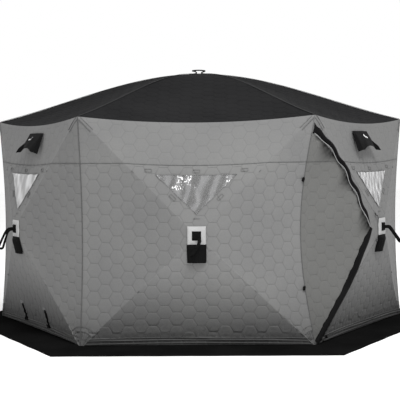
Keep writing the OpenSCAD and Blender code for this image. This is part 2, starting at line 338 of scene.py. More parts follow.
# ---- wall surface: u runs along a wall, z is up and h stands out of the cloth ----
EAVE_SAG = 0.053
DOOR_SEAM_PULL = 0.110
CORNER_BOW = 0.045
RIDGE_SOFT = 0.0025      # radius-like softness of the ridges over the rods
POLE_PRESS = 0.007
POLE_SPREAD = 0.045
FAINT_PRESS = 0.35       # share of the rods' press that shows on the square walls
PANEL_SAG = 0.016
HEM_TUCK = (0.020, 0.008)


def turn_z(points, degrees):
    a = math.radians(degrees)
    c, s = math.cos(a), math.sin(a)
    x, y, z = np.array(points, float).T
    return np.stack([x * c - y * s, x * s + y * c, z], axis=1)


def direction(k, u, out, z):
    """A direction from wall k's own axes to the row frame."""
    return turn_z([(u, -out, z)], 60 * k)[0]


def seam_bow(corner, s):
    """How far a corner seam leaves its straight line, in the row frame.
    Corner k is between walls k and k + 1."""
    swell = np.sin(math.pi * np.clip(s, 0, 1))
    angle = math.radians(60 * corner - 60)
    inward = CORNER_BOW * swell
    move = np.stack([-math.cos(angle) * inward, -math.sin(angle) * inward, 0 * s], axis=1)
    if corner == DOOR_WALL - 1:
        move[:, 0] -= DOOR_SEAM_PULL * swell ** 1.05 - 0.5 * inward
    return move


def shares(u, z):
    """How far each point is towards the hub from the top, bottom, left and right edges."""
    return np.stack([(EAVE - z) / (EAVE - HUB_Z), (z - HEM) / (HUB_Z - HEM),
                     (u + HALF) / HALF, (HALF - u) / HALF])


def wall_point(k, u, z, h):
    """Flat wall coordinates to points in the row frame."""
    f = shares(u, z)
    w = -RIDGE_SOFT * np.log(np.exp(-BULGE * f / RIDGE_SOFT).sum(axis=0))
    region = f.argmin(axis=0)
    near = np.clip(f.min(axis=0), 0, 1)
    left = 1 - near
    apart = np.partition(f, 1, axis=0)[1] - near
    press = POLE_PRESS * (FAINT_PRESS if k in SQUARE_WALLS else 1.0)
    w += press * np.exp(-apart / POLE_SPREAD) * np.clip(near / 0.06, 0, 1) * np.clip(left / 0.15, 0, 1)
    safe = np.maximum(left, 1e-6)
    along = np.clip(u / safe / HALF, -1, 1)
    up = np.clip((HUB_Z + (z - HUB_Z) / safe - HEM) / (EAVE - HEM), 0, 1)
    fade = left ** 2
    bulge = (1 - along ** 2) * fade
    move = np.zeros((len(u), 3))
    top = region == 0
    move[top, 2] = (-EAVE_SAG * bulge)[top]
    low = region == 1
    move[low, 1] = (HEM_TUCK[0] * bulge)[low]
    move[low, 2] = (HEM_TUCK[1] * bulge)[low]
    for which, corner in ((2, k - 1), (3, k)):
        side = region == which
        bow = turn_z(seam_bow(corner, up), -60 * k) * fade[:, None]
        move[side] = bow[side]
    sag = PANEL_SAG * np.sin(math.pi * near) * left
    local = np.stack([u, -APOTHEM - w + sag - h, z], axis=1) + move
    return turn_z(local, 60 * k)


def surface_at(k, u, z, h=0.0):
    """One point on wall k's cloth, or h over it."""
    return wall_point(k, *np.array([[u], [z], [h]]))[0]


def wall_wrinkles(k, u, z):
    """Soft folds in the cloth: ripples above the hem, pulls from the corners and slack by the door."""
    low = np.exp(-((z - 0.10) / 0.09) ** 2)
    drift = 0.7 * np.sin(1.7 * u + k) + 0.12 * np.sin(9 * u)
    wave = 0.0035 * low * np.sin(2 * math.pi * (z / 0.034 + drift))
    band = np.exp(-np.abs(z - BAND_Z) / 0.05)
    wave += 0.0022 * band * np.sin(2 * math.pi * u / 0.085 + 2 * np.sin(5 * u + k))
    broad = 0.004 * np.sin(3.1 * u + 1.3 * k) * np.sin(2.7 * z + 0.9 * k)
    broad += 0.003 * np.sin(7.3 * u - 2 * z + k)
    for side in (-1, 1):
        for dz in (z - HEM, EAVE - z):
            du = HALF - side * u
            r = np.hypot(du, dz)
            turn = 26 * np.arctan2(dz, du) + k
            wave += 0.0022 * np.exp(-r / 0.09) * np.sin(turn) * np.clip(r / 0.05, 0, 1)
    edge = np.clip(np.minimum.reduce([HALF - np.abs(u), EAVE - z, z - HEM]) / 0.05, 0, 1)
    return (wave + broad) * edge


# ---- meshes ----
HEX = 0.0615             # side of a quilted cell
PUFF = 0.0032            # height of a quilted cell
QUILT_RINGS = (0.45, 0.75, 0.89, 0.96, 1.0)
QUILT_RISE = (0.97, 0.88, 0.72, 0.42, 0.0)
SLANT_FAINT = 0.036      # how faint the slanting stitches are on the square walls; the level ones keep the full painted crease shade, as lit from above
SIDE_SLANT = 0.060
PER_SIDE = 2
LINING_DEPTH = -0.008
LINING_STEP = 0.06
CLOTH, LINING, THREAD = 0, 1, 2


def quads(rows, cols, ring=False):
    """Faces over rows of points; a ring's rows close on themselves."""
    n = cols if ring else cols + 1
    return [(i * n + j, i * n + (j + 1) % n, (i + 1) * n + (j + 1) % n, (i + 1) * n + j)
            for i in range(rows) for j in range(cols)]


def hex_outline():
    """Points round a flat-topped hexagon, and whether each lies on a level side."""
    corners = [(math.cos(math.radians(60 * i)), math.sin(math.radians(60 * i))) for i in range(6)]
    outline = []
    for (xa, ya), (xb, yb) in zip(corners, corners[1:] + corners[:1]):
        outline += [(xa + (xb - xa) * j / PER_SIDE, ya + (yb - ya) * j / PER_SIDE) for j in range(PER_SIDE)]
    return outline, [abs(abs(y) - corners[1][1]) < 1e-6 for x, y in outline]


def hex_centres(box, origin):
    u0, z0, u1, z1 = box
    col, row = 1.5 * HEX, math.sqrt(3) * HEX
    for i in range(math.floor((u0 - origin[0]) / col) - 1, math.ceil((u1 - origin[0]) / col) + 2):
        low = origin[1] + (i % 2) * row / 2
        for j in range(math.floor((z0 - low) / row) - 1, math.ceil((z1 - low) / row) + 2):
            yield origin[0] + i * col, low + j * row


def hex_cells(box, origin, puff=PUFF, faint=0.0, slant=SLANT_FAINT):
    """Quilted hexagons over box = (u0, z0, u1, z1).
    Returns points, faces, heights and distances from a stitch line."""
    outline, level = hex_outline()
    count = len(outline)
    points, heights, dist, faces = [], [], [], []
    for cu, cz in hex_centres(box, origin):
        first = len(points)
        points.append((cu, cz))
        heights.append(puff)
        dist.append(1.0)
        for ring, rise in zip(QUILT_RINGS, QUILT_RISE):
            for (x, y), flat_side in zip(outline, level):
                points.append((cu + HEX * ring * x, cz + HEX * ring * y))
                heights.append(rise * puff)
                # level sides keep the darkest line: painted crease shade, as lit from above
                dist.append(max(1 - ring, faint, 0 if flat_side else slant))
        for s in range(count):
            t = (s + 1) % count
            faces.append((first, first + 1 + s, first + 1 + t))
            for r in range(len(QUILT_RINGS) - 1):
                p = first + 1 + r * count
                faces.append((p + s, p + count + s, p + count + t, p + t))
    keys = {}
    merged = [keys.setdefault(tuple(place), n) for n, place in enumerate(np.round(points, 5))]
    faces = [tuple(merged[i] for i in face) for face in faces]
    return points, faces, heights, dist


def grid_cells(box, step, height):
    u0, z0, u1, z1 = box
    nu, nz = max(1, round((u1 - u0) / step)), max(1, round((z1 - z0) / step))
    points = [(u, z) for z in np.linspace(z0, z1, nz + 1) for u in np.linspace(u0, u1, nu + 1)]
    return points, quads(nz, nu), np.full(len(points), height), np.ones(len(points))


STRIP_ACROSS = (-0.5, -0.42, 0.0, 0.42, 0.5)
STRIP_LIFTS = (0.0, 1.0, 1.3, 1.0, 0.0)


def strip_cells(path, width, height, step):
    """A flat band along a path of (u, z) points, slightly crowned across; width may differ at each point."""
    path = np.array(path, float)
    width = np.broadcast_to(width, len(path))
    length = np.concatenate([[0], np.cumsum(np.hypot(*np.diff(path, axis=0).T))])
    count = max(2, round(length[-1] / step))
    ds = np.linspace(0, length[-1], count + 1)
    pu, pz, wide = (np.interp(ds, length, values) for values in (*path.T, width))
    tu, tz = np.gradient(pu), np.gradient(pz)
    size = np.hypot(tu, tz)
    points = [(pu[i] - tz[i] / size[i] * wide[i] * across, pz[i] + tu[i] / size[i] * wide[i] * across)
              for i in range(count + 1) for across in STRIP_ACROSS]
    heights = [height * lift for i in range(count + 1) for lift in STRIP_LIFTS]
    faces = [(a, d, c, b) for a, b, c, d in quads(count, len(STRIP_ACROSS) - 1)]
    return points, faces, heights, np.ones(len(points))


class Flat:
    """Cloth laid out flat in (u, z): layers of cells, cut to an outline and then shaped."""

    def __init__(self):
        self.bm = bmesh.new()
        self.dist = self.bm.verts.layers.float.new("stitch")

    def add(self, cells, slot=CLOTH, cuts=()):
        """cuts are ((u, z), (nu, nz)) lines: what lies on the normal's side is removed."""
        points, faces, heights, dist = cells
        verts = {}
        for i in sorted({i for f in faces for i in f}):
            v = self.bm.verts.new((points[i][0], heights[i], points[i][1]))
            v[self.dist] = dist[i]
            verts[i] = v
        for f in faces:
            face = self.bm.faces.new([verts[i] for i in f])
            face.material_index = slot
            face.smooth = True
        self.cut(list(verts.values()), cuts)

    def strip(self, path, width, height, slot=CLOTH, cuts=(), step=0.02):
        self.add(strip_cells(path, width, height, step), slot, cuts)

    def line_with(self, box, cuts):
        """The dark lining behind the outer cloth."""
        self.add(grid_cells(box, LINING_STEP, LINING_DEPTH), LINING, cuts)

    def cut(self, verts, cuts):
        for (u, z), (nu, nz) in cuts:
            verts = [v for v in verts if v.is_valid]
            geom = set(verts)
            for v in verts:
                geom.update(v.link_edges)
                geom.update(v.link_faces)
            done = bmesh.ops.bisect_plane(self.bm, geom=list(geom), dist=1e-6, plane_co=(u, 0, z),
                                          plane_no=(nu, 0, nz), clear_outer=True)
            made = {g for g in done["geom"] if isinstance(g, bmesh.types.BMVert) and g.is_valid}
            verts = list({v for v in verts if v.is_valid} | made)

    def to_object(self, name, shape, mats, painted_light=None):
        u, h, z = np.array([v.co for v in self.bm.verts], float).T
        for v, p in zip(self.bm.verts, shape(u, z, h)):
            v.co = p
        mesh = bpy.data.meshes.new(name)
        self.bm.to_mesh(mesh)
        self.bm.free()
        # colour attribute holding painted shade and painted highlights
        shade = mesh.attributes.new("painted_light", "FLOAT_COLOR", "POINT")
        level = np.ones(len(u)) if painted_light is None else painted_light(u, z)
        shade.data.foreach_set("color", np.stack([level, level, level, np.ones(len(u))], axis=1).ravel())
        for m in mats:
            mesh.materials.append(m)
        return link_object(name, mesh)


def mesh_object(name, verts, faces, material):
    mesh = bpy.data.meshes.new(name)
    mesh.from_pydata([tuple(v) for v in verts], [], faces)
    for p in mesh.polygons:
        p.use_smooth = True
    mesh.materials.append(material)
    return link_object(name, mesh)


def solidify(obj, thickness):
    thick = obj.modifiers.new("thickness", "SOLIDIFY")
    thick.thickness = thickness
    thick.offset = -1


def dress(obj, slot, *nodes):
    """Hides the CAD nodes that a piece stands for; slot, its finish, is not used."""
    if nodes:
        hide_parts(*nodes)


# ---- quilted walls ----
LOW_PHASE = (-0.433, 1.027)
BAND_PHASE = (-0.415, 1.47)
BAND_PUFF = 0.4 * PUFF
BAND_FAINT = 0.04
THREAD_HEIGHT = 0.0033
HEM_ROWS = (HEM + 0.026, HEM + 0.052, HEM + 0.070)
EVERYTHING = (-HALF, HEM, HALF, EAVE)
UNDER_BAND = ((0, BAND_Z), (0, 1))
OVER_BAND = ((0, BAND_Z), (0, -1))
EDGES = {"top": [(-HALF, EAVE), (HALF, EAVE)], "bottom": [(HALF, HEM), (-HALF, HEM)],
         "left": [(-HALF, HEM), (-HALF, EAVE)], "right": [(HALF, EAVE), (HALF, HEM)]}
BLEND_STARTS = {"top": (0, EAVE), "bottom": (0, HEM), "left": (-HALF, HUB_Z), "right": (HALF, HUB_Z)}


def outline_cuts(outline):
    """Lines that keep what is inside a convex outline."""
    middle = np.mean(outline, axis=0)
    cuts = []
    for (ua, za), (ub, zb) in zip(outline, outline[1:] + outline[:1]):
        normal = np.array([zb - za, ua - ub])
        normal /= np.linalg.norm(normal)
        if normal @ (middle - (ua, za)) > 0:
            normal = -normal
        cuts.append(((ua, za), tuple(normal)))
    return cuts


def follow(obj, moving, still, hub):
    """Bakes the cloth's placement into its mesh; moving, still and hub are not used."""
    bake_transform(obj)


def follow_hub(obj, k, region):
    u, z = BLEND_STARTS[region]
    follow(obj, f"{WALLS[k]}_centre", *turn_z([(u, -APOTHEM, z), (0, -APOTHEM - BULGE, HUB_Z)], 60 * k))


def follow_roof(obj, radius, degrees):
    follow(obj, "roof_centre", *turn_z([(0, -radius, EAVE), (0, 0, EAVE)], degrees))


def seam_fade(u, z):
    """1 in a panel's field and 0 on the sewn edges, where the quilting is flat."""
    edge = np.minimum.reduce([HALF - np.abs(u), EAVE - z, (z - HEM) - 0.07, np.abs(z - BAND_Z)])
    return np.clip(edge / 0.018, 0, 1)


def quilted(u, z, h):
    """Heights with the quilting's puffs fading out at the seams; what is higher is sewn on top."""
    return np.where((h > 0) & (h <= PUFF * 1.001), h * seam_fade(u, z), h)


def wall_shape(k):
    def shape(u, z, h):
        return wall_point(k, u, z, quilted(u, z, h) + wall_wrinkles(k, u, z))
    return shape


def wall_painted_light(k):
    """Painted shade: the cloth darkens towards the ground, most on the panel that faces it; the door's wall
    and each wall's left-hand panel are painted darker, and the hem rows get painted highlights.
    """
    # painted shade on the door's wall
    shade = 0.86 if k == DOOR_WALL else 1.0

    def painted_light(u, z):
        region = shares(u, z).argmin(axis=0)
        drop = np.clip((0.62 - z) / 0.62, 0, 1)
        level = np.where(region == 1, 1.12 * (1 - 0.77 * drop ** 1.2), 1 - 0.44 * drop ** 2.0)
        # painted shade on each wall's left-hand panel
        level = np.where(region == 2, 0.96 * level, level)
        # painted highlights along the raised hem rows
        for row in HEM_ROWS:
            level *= 1 + 0.7 * np.exp(-((z - row) / 0.003) ** 2)
        return shade * level
    return painted_light


def upper_band(flat, box, cuts, end):
    """Faint quilting over the level seam, and the seam's thread as far as u = end."""
    flat.add(hex_cells(box, BAND_PHASE, BAND_PUFF, BAND_FAINT), CLOTH, cuts + [OVER_BAND])
    flat.strip([(-HALF, BAND_Z), (end, BAND_Z)], 0.0034, THREAD_HEIGHT, THREAD, cuts)


def wall_region(k, region, mats):
    flat = Flat()
    cuts = outline_cuts(EDGES[region] + [(0.0, HUB_Z)])
    slant = SLANT_FAINT if k in SQUARE_WALLS else SIDE_SLANT
    flat.add(hex_cells(EVERYTHING, LOW_PHASE, slant=slant), CLOTH, cuts + [UNDER_BAND])
    if region == "bottom":
        for z in HEM_ROWS:
            flat.strip([(-HALF, z), (HALF, z)], 0.007, 0.005, CLOTH, cuts)
    else:
        upper_band(flat, EVERYTHING, cuts, HALF)
    if region in ("left", "right"):
        edge = math.copysign(HALF - 0.0015, EDGES[region][0][0])
        flat.strip([(edge, HEM), (edge, EAVE)], 0.0017, THREAD_HEIGHT, THREAD, cuts)
    flat.line_with(EVERYTHING, cuts)
    return flat.to_object(f"cloth_{WALLS[k]}_{region}", wall_shape(k), mats, wall_painted_light(k))


def make_walls(m):
    for k, name in enumerate(WALLS):
        for region in EDGES:
            if k == DOOR_WALL and region == "left":
                continue
            obj = wall_region(k, region, [m["wall"], m["lining"], m["thread"]])
            follow_hub(obj, k, region)
            dress(obj, "wall_cloth", f"wall_{name}")


# ---- roof ----
def roof_z(t):
    return EAVE + ROOF_RISE * (t + ROOF_FULL * t * t * (1 - t))


ROOF_T = np.linspace(0, 1, 200)
ROOF_S = np.concatenate([[0], np.cumsum(np.hypot(np.diff(APOTHEM * ROOF_T), np.diff(roof_z(ROOF_T))))])
GORE_LENGTH = ROOF_S[-1]
GORE_TOP = GORE_LENGTH * 0.985


def roof_shape(k):
    """x runs along a gore's eave, s up its slope and h stands out of the cloth."""
    def shape(x, s, h):
        t = np.interp(s, ROOF_S, ROOF_T)
        half = np.maximum(HALF * (1 - t), 1e-6)
        along = np.clip(x / half, -1, 1)
        slope = np.interp(t, ROOF_T, np.gradient(roof_z(ROOF_T), APOTHEM * ROOF_T))
        edge = np.clip(np.minimum(half - np.abs(x), s) / 0.02, 0, 1)
        lift = np.where(h > 0, h * edge, h)
        sag = 0.035 * (1 - along ** 2) * np.sin(math.pi * t) * (1 - t) ** 0.5
        sag += EAVE_SAG * (1 - along ** 2) * (1 - t) ** 3
        folds = 0.003 * np.sin(14 * x + 2 * k) * np.sin(5 * s) * edge
        size = np.sqrt(1 + slope ** 2)
        y = -APOTHEM * (1 - t) - lift * slope / size
        return turn_z(np.stack([x, y, roof_z(t) - sag + lift / size + folds], axis=1), 60 * k)
    return shape


def roof_gore(k, m):
    flat = Flat()
    slant = math.hypot(GORE_LENGTH, HALF)
    cuts = [((side * HALF, 0), (side * GORE_LENGTH / slant, HALF / slant)) for side in (-1, 1)]
    cuts += [((0, 0), (0, -1)), ((0, GORE_TOP), (0, 1))]
    box = (-HALF, 0, HALF, GORE_LENGTH)
    flat.add(hex_cells(box, (0.0, 0.03)), CLOTH, cuts)
    for side in (-1, 1):
        flat.strip([(side * (HALF - 0.004), 0.0), (side * 0.012, GORE_TOP)], 0.008, 0.0045, CLOTH, cuts)
    flat.line_with(box, cuts)
    obj = flat.to_object(f"roof_gore_{k + 1}", roof_shape(k), [m["roof"], m["lining"]])
    follow_roof(obj, APOTHEM, 60 * k)
    dress(obj, "roof_cloth", "roof_canopy")


def ridge_tape(k, m):
    """A narrow tape sewn over the ridge between two gores, lighter than the roof as painted highlight along
    the ridge.
    """
    t = np.linspace(0.004, 0.97, 40)
    line = np.stack([0 * t, -SIDE * (1 - t), roof_z(t) + 0.0035], axis=1)
    degrees = 60 * k + 30
    across = turn_z([(1, 0, 0)], degrees)[0]
    obj = ribbon(f"ridge_tape_{k + 1}", turn_z(line, degrees), across, 0.018, 0.002, m["ridge"])
    follow_roof(obj, SIDE, degrees)
    dress(obj, "roof_cloth")


# ---- snow skirt ----
SKIRT_AROUND = 90        # points along each side
SKIRT_ACROSS = 10
SKIRT_FLOOR = 0.0035
SKIRT_THICK = 0.003


def skirt_point(k, x, v):
    """A point of the skirt beside wall k: x runs along it from -1 to 1 and v out from 0 to 1."""
    apothem = (APOTHEM - 0.01) * (1 - v) + (APOTHEM + SKIRT_OUT + 0.003) * v
    ripple = 0.006 * math.sin(9 * x + 5 * v + 2 * k) * math.sin(math.pi * v)
    ripple += 0.004 * math.sin(31 * x + 3 * math.sin(4 * v + k)) * math.sin(math.pi * v)
    edge = 0.002 * math.sin(17 * x + k) * v
    z = 0.022 * (1 - v) ** 1.5 + SKIRT_FLOOR + ripple * 0.7 * (1 - v) + (0.003 if 0 < v < 1 else 0)
    return turn_z([(x * apothem * math.tan(math.radians(30)), -apothem - edge, z)], 60 * k)[0]


def make_skirt(m):
    points = [skirt_point(k, -1 + 2 * i / SKIRT_AROUND, j / SKIRT_ACROSS)
              for k in range(6) for i in range(SKIRT_AROUND) for j in range(SKIRT_ACROSS + 1)]
    faces = [tuple(v % len(points) for v in face) for face in quads(6 * SKIRT_AROUND, SKIRT_ACROSS)]
    obj = mesh_object("skirt_sheet", points, faces, m["skirt"])
    solidify(obj, SKIRT_THICK)
    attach(obj, ROOT)
    dress(obj, "skirt_cloth", "snow_skirt")


# ---- pieces sewn on the walls ----
WINDOW_HALF = 0.305
WINDOW_TOP = 1.340
WINDOW_LOW = 1.040
WINDOW_FILMS = ("film", "right_film_painted_reflection", "right_film_painted_reflection", "film", "left_film_painted_reflection", "left_film_painted_reflection")
PANEL_LIFT = 0.006       # height at which sewn pieces lie on the quilting
STITCH = 0.0016          # width of a line of stitches


def on_cloth(k):
    """Shape for pieces that lie on the cloth, with h measured from its unquilted surface."""
    def shape(u, z, h):
        return wall_point(k, u, z, h + wall_wrinkles(k, u, z))
    return shape


def ripples(rng, count, pitches, angles):
    return [(rng.uniform(*pitches), rng.uniform(*angles), rng.uniform(0, 6.28)) for _ in range(count)]


def film_ripples(k):
    """Clear film hangs in soft upright folds with finer creases across them."""
    rng = random.Random(40 + k)
    folds = ripples(rng, 5, (35, 95), (-0.3, 0.3))
    creases = ripples(rng, 3, (20, 60), (0.5, 2.6))

    def shape(u, z, h):
        lift = np.zeros(len(u))
        for group, swing, du, dz, depth in ((folds, 1.2, 9, 6, 0.028), (creases, 2.0, 13, 5, 0.016)):
            for pitch, angle, phase in group:
                across = u * math.cos(angle) + z * math.sin(angle)
                lift += np.sin(pitch * across + phase + swing * np.sin(du * u + dz * z)) * depth / pitch
        return on_cloth(k)(u, z, h + 0.003 + lift)
    return shape


def window_film(k, m):
    flat = Flat()
    outline = [(-WINDOW_HALF, WINDOW_TOP), (WINDOW_HALF, WINDOW_TOP), (0, WINDOW_LOW)]
    box = (-WINDOW_HALF, WINDOW_LOW, WINDOW_HALF, WINDOW_TOP)
    flat.add(grid_cells(box, 0.006, PANEL_LIFT), CLOTH, outline_cuts(outline))
    obj = flat.to_object(f"window_{WALLS[k]}", film_ripples(k), [m[WINDOW_FILMS[k]]])
    solidify(obj, 0.0008)
    follow_hub(obj, k, "top")
    dress(obj, "clear_film", "window_films")


def tab_outline(centre, length, width, degrees):
    """The closed outline of a sewn tab."""
    c, s = math.cos(math.radians(degrees)), math.sin(math.radians(degrees))
    corners = [(-1, -1), (1, -1), (1, 1), (-1, 1), (-1, -1)]
    return [(centre[0] + c * x * length / 2 - s * y * width / 2,
             centre[1] + s * x * length / 2 + c * y * width / 2) for x, y in corners]


def along_pole(side, corner_z, f, aside=0.0):
    """A point on the line over a rod, at share f of the way from the corner to the hub."""
    du, dz = -side * HALF, HUB_Z - corner_z
    size = math.hypot(du, dz)
    return (side * HALF + du * f - dz / size * aside, corner_z + dz * f + du / size * aside)


def over_pole(side, corner_z, start, end, aside=0.0):
    return [along_pole(side, corner_z, f, aside) for f in (start, end)]


def corner_pocket(flat, side):
    """Stitching of the pocket that holds a rod's lower end: two arcs, a fan of lines and a raised edge."""
    def place(radius, a):
        return side * HALF - side * radius * math.cos(a), HEM + 0.012 + radius * math.sin(a)

    down, up = math.atan2(HUB_Z - HEM, HALF), math.radians(90)
    arcs = [[place(radius, a) for a in np.linspace(down, up, 9)] for radius in (0.115, 0.150)]
    rays = [[place(radius, a) for radius in (0.05, 0.115)] for a in np.linspace(down + 0.12, up - 0.12, 4)]
    for path in arcs + rays:
        flat.strip(path, STITCH, 0.006, step=0.01)
    flat.strip(over_pole(side, HEM, 0.008, 0.17, -0.004), 0.007, 0.006, 1, step=0.01)


TABS = [((-0.362, 1.372), 0), ((0, 1.372), 0), ((0.362, 1.372), 0), ((-0.178, 1.165), -45),
        ((0.178, 1.165), 45)]


def stitching(k, m):
    """Stitches by each rod and window, in thread, and the tabs and pocket edges, in faded cloth."""
    upper, lower = Flat(), Flat()
    for centre, degrees in TABS:
        upper.strip(tab_outline(centre, 0.053, 0.022, degrees), STITCH, 0.0055, 1, step=0.006)
    upper.strip([(-0.025, 1.005), (0.025, 1.005)], 0.0026, 0.0055, step=0.006)
    upper.strip([(-WINDOW_HALF, WINDOW_TOP), (WINDOW_HALF, WINDOW_TOP)], 0.003, 0.0075, step=0.008)
    for side in (-1, 1):
        upper.strip(over_pole(side, EAVE, 0.46, 0.475), 0.005, 0.006, step=0.005)
        lower.strip(over_pole(side, HEM, 0.5, 0.515), 0.005, 0.006, step=0.005)
        for aside in (-0.013, 0.013):
            upper.strip(over_pole(side, EAVE, 0.015, 0.12, aside), 0.0018, 0.005, step=0.01)
        if (k, side) != (DOOR_WALL, -1):
            corner_pocket(lower, side)
    for flat, region, name in ((upper, "top", "upper"), (lower, "bottom", "lower")):
        obj = flat.to_object(f"stitching_{WALLS[k]}_{name}", on_cloth(k), [m["thread"], m["faded"]])
        follow_hub(obj, k, region)
        dress(obj, "wall_cloth")


PATCH = 0.142
BOSS = 0.069
FLAP_LEN = 0.141
WEB = 0.025
CROSS_WIDTH = 0.003
CROSS_RISE = 0.0015


def square_cells(size, step):
    edge = size / 2
    return grid_cells((-edge, HUB_Z - edge, edge, HUB_Z + edge), step, 0.0)


def sewn_square(name, size, step, shape, thickness, material):
    flat = Flat()
    flat.add(square_cells(size, step))
    obj = flat.to_object(name, shape, [material])
    solidify(obj, thickness)
    return obj


def hub_patch(k, m):
    """A pale square over the hub, a smaller black one on it and the black one's crossed stitches."""
    name = WALLS[k]
    edge = BOSS / 2

    def lie(u, z, h):
        x, y = u / (PATCH / 2), (z - HUB_Z) / (PATCH / 2)
        inside = np.clip((1 - np.maximum(np.abs(x), np.abs(y))) / 0.08, 0, 1)
        return wall_point(k, u, z, 0.006 + 0.004 * inside + 0.0012 * np.sin(9 * x + k) * np.sin(7 * y))

    def raise_boss(u, z, h):
        x, y = np.abs(u) / edge, np.abs(z - HUB_Z) / edge
        crown = 0.003 * np.clip((1 - np.maximum(x, y)) / 0.2, 0, 1)
        return wall_point(k, u, z, 0.0115 + crown + h)

    patch = sewn_square(f"patch_{name}", PATCH, 0.009, lie, 0.0015, m["pale"])
    boss = sewn_square(f"hub_square_{name}", BOSS, 0.005, raise_boss, 0.002, m["black"])
    flat = Flat()
    reach = 0.8 * edge
    for rise in (reach, -reach):
        flat.strip([(-reach, HUB_Z - rise), (reach, HUB_Z + rise)], CROSS_WIDTH, CROSS_RISE, step=0.004)
    box = tab_outline((0, HUB_Z), 2 * reach, 2 * reach, 0)
    flat.strip(box, CROSS_WIDTH, CROSS_RISE, step=0.004)
    cross = flat.to_object(f"hub_stitching_{name}", raise_boss, [m["webbing"]])
    for obj in (patch, boss, cross):
        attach(obj, f"{name}_centre")
        dress(obj, "cover_cloth", f"hub_cover_{name}")


def hub_flap(k, m):
    """A black flap that hangs from the patch in a soft barrel."""
    name = WALLS[k]
    flat = Flat()
    half = PATCH / 2 + 0.003
    top = HUB_Z - PATCH / 2 + 0.006
    flat.add(grid_cells((-half, top - FLAP_LEN, half, top), 0.0055, 0.0))

    def hang(u, z, h):
        x, y = u / half, (top - z) / FLAP_LEN
        barrel = 0.030 * np.clip(1 - x ** 2, 0, 1) ** 0.6 * np.clip(y / 0.25, 0, 1) ** 0.7
        ribs = 0.0016 * np.cos(x * 17 + 1.2 * np.sin(2.5 * y + k)) * np.clip(y / 0.15, 0, 1)
        hem = 0.002 * np.exp(-((y - 0.94) / 0.03) ** 2)
        return wall_point(k, u * (1 - 0.03 * y), z, 0.0075 + barrel + ribs + hem)
    obj = flat.to_object(f"hub_flap_{name}", hang, [m["black"]])
    solidify(obj, 0.0025)
    follow_hub(obj, k, "bottom")
    dress(obj, "cover_cloth", f"hub_cover_{name}")


# ---- straps and tubes ----
STRAP_SECTION = [(-0.5, -0.35), (-0.44, -0.5), (0.44, -0.5), (0.5, -0.35), (0.5, 0.35), (0.44, 0.5),
                 (0.15, 0.56), (-0.15, 0.56), (-0.44, 0.5), (-0.5, 0.35)]


def unit_rows(rows):
    return rows / np.linalg.norm(rows, axis=1)[:, None]


def swept(name, sections, material):
    """A closed solid through sections of equally many points."""
    n = len(sections[0])
    last = (len(sections) - 1) * n
    faces = quads(len(sections) - 1, n, ring=True)
    faces += [tuple(range(n))[::-1], tuple(last + j for j in range(n))]
    return mesh_object(name, [v for section in sections for v in section], faces, material)


def ribbon(name, path, across, width, thickness, material):
    """A strap swept along smooth points, with its width along the across direction."""
    path = smooth_path(path, 6)
    across = np.array(across, float)
    across /= np.linalg.norm(across)
    tangent = unit_rows(np.gradient(path, axis=0))
    side = unit_rows(across - tangent * (tangent @ across)[:, None])
    lift = np.cross(side, tangent)
    sections = [[p + s * a * width + n * b * thickness for a, b in STRAP_SECTION]
                for p, s, n in zip(path, side, lift)]
    return swept(name, sections, material)


def tube(name, path, radii, material, sides=16):
    path = np.array(path, float)
    tangent = unit_rows(np.gradient(path, axis=0))
    side = unit_rows(np.cross(tangent, (0.13, 0.21, 0.97)))
    lift = np.cross(side, tangent)
    angles = 2 * np.pi * np.arange(sides) / sides
    sections = [[p + r * (math.cos(a) * s + math.sin(a) * n) for a in angles]
                for p, s, n, r in zip(path, side, lift, radii)]
    return swept(name, sections, material)


def smooth_path(points, per_part):
    """Catmull-Rom points through a path."""
    p = np.array(points, float)
    p = np.vstack([2 * p[0] - p[1], p, 2 * p[-1] - p[-2]])
    out = []
    for i in range(1, len(p) - 2):
        a, b, c, d = p[i - 1:i + 3]
        for t in np.linspace(0, 1, per_part, endpoint=False):
            out.append(0.5 * (2 * b + (c - a) * t + (2 * a - 5 * b + 4 * c - d) * t ** 2
                              + (3 * b - a - 3 * c + d) * t ** 3))
    out.append(p[-2])
    return np.array(out)


def wall_frame(k, points):
    """Points (u, out, z), with out measured outside the wall's plane, in the row frame."""
    u, out, z = np.array(points, float).T
    return turn_z(np.stack([u, -APOTHEM - out, z], axis=1), 60 * k)


FRONT_STRAP = [(0.010, 0.016, -0.016), (0.020, 0.030, -0.040), (0.010, 0.046, -0.072),
               (-0.012, 0.052, -0.105), (-0.030, 0.052, -0.138), (-0.038, 0.054, -0.150),
               (-0.032, 0.060, -0.134), (-0.010, 0.060, -0.100), (0.012, 0.054, -0.068),
               (0.024, 0.036, -0.038), (0.014, 0.016, -0.012)]
OPEN_STRAP = [(0, 0.004, 0), (0, 0.030, 0.004), (0, 0.062, -0.002), (0, 0.086, -0.032), (0, 0.108, -0.074),
              (0, 0.127, -0.112), (0, 0.140, -0.142), (0.002, 0.136, -0.154), (0.004, 0.118, -0.158),
              (0.006, 0.106, -0.146), (0.006, 0.094, -0.108), (0.006, 0.080, -0.068), (0.006, 0.066, -0.030),
              (0.006, 0.048, -0.010), (0.006, 0.026, -0.006), (0.006, 0.004, -0.008)]
SHUT_STRAP = [(0, 0.004, 0), (0, 0.030, 0.003), (0, 0.060, 0.002), (0, 0.080, -0.020), (0, 0.106, -0.054),
              (0, 0.132, -0.088), (0, 0.150, -0.110), (0.003, 0.146, -0.120), (0.005, 0.124, -0.094),
              (0.005, 0.098, -0.060), (0.005, 0.072, -0.026), (0.005, 0.050, -0.006), (0.005, 0.026, -0.004),
              (0.005, 0.004, -0.008)]
STRAPS = (FRONT_STRAP, SHUT_STRAP, SHUT_STRAP, FRONT_STRAP, OPEN_STRAP, OPEN_STRAP)


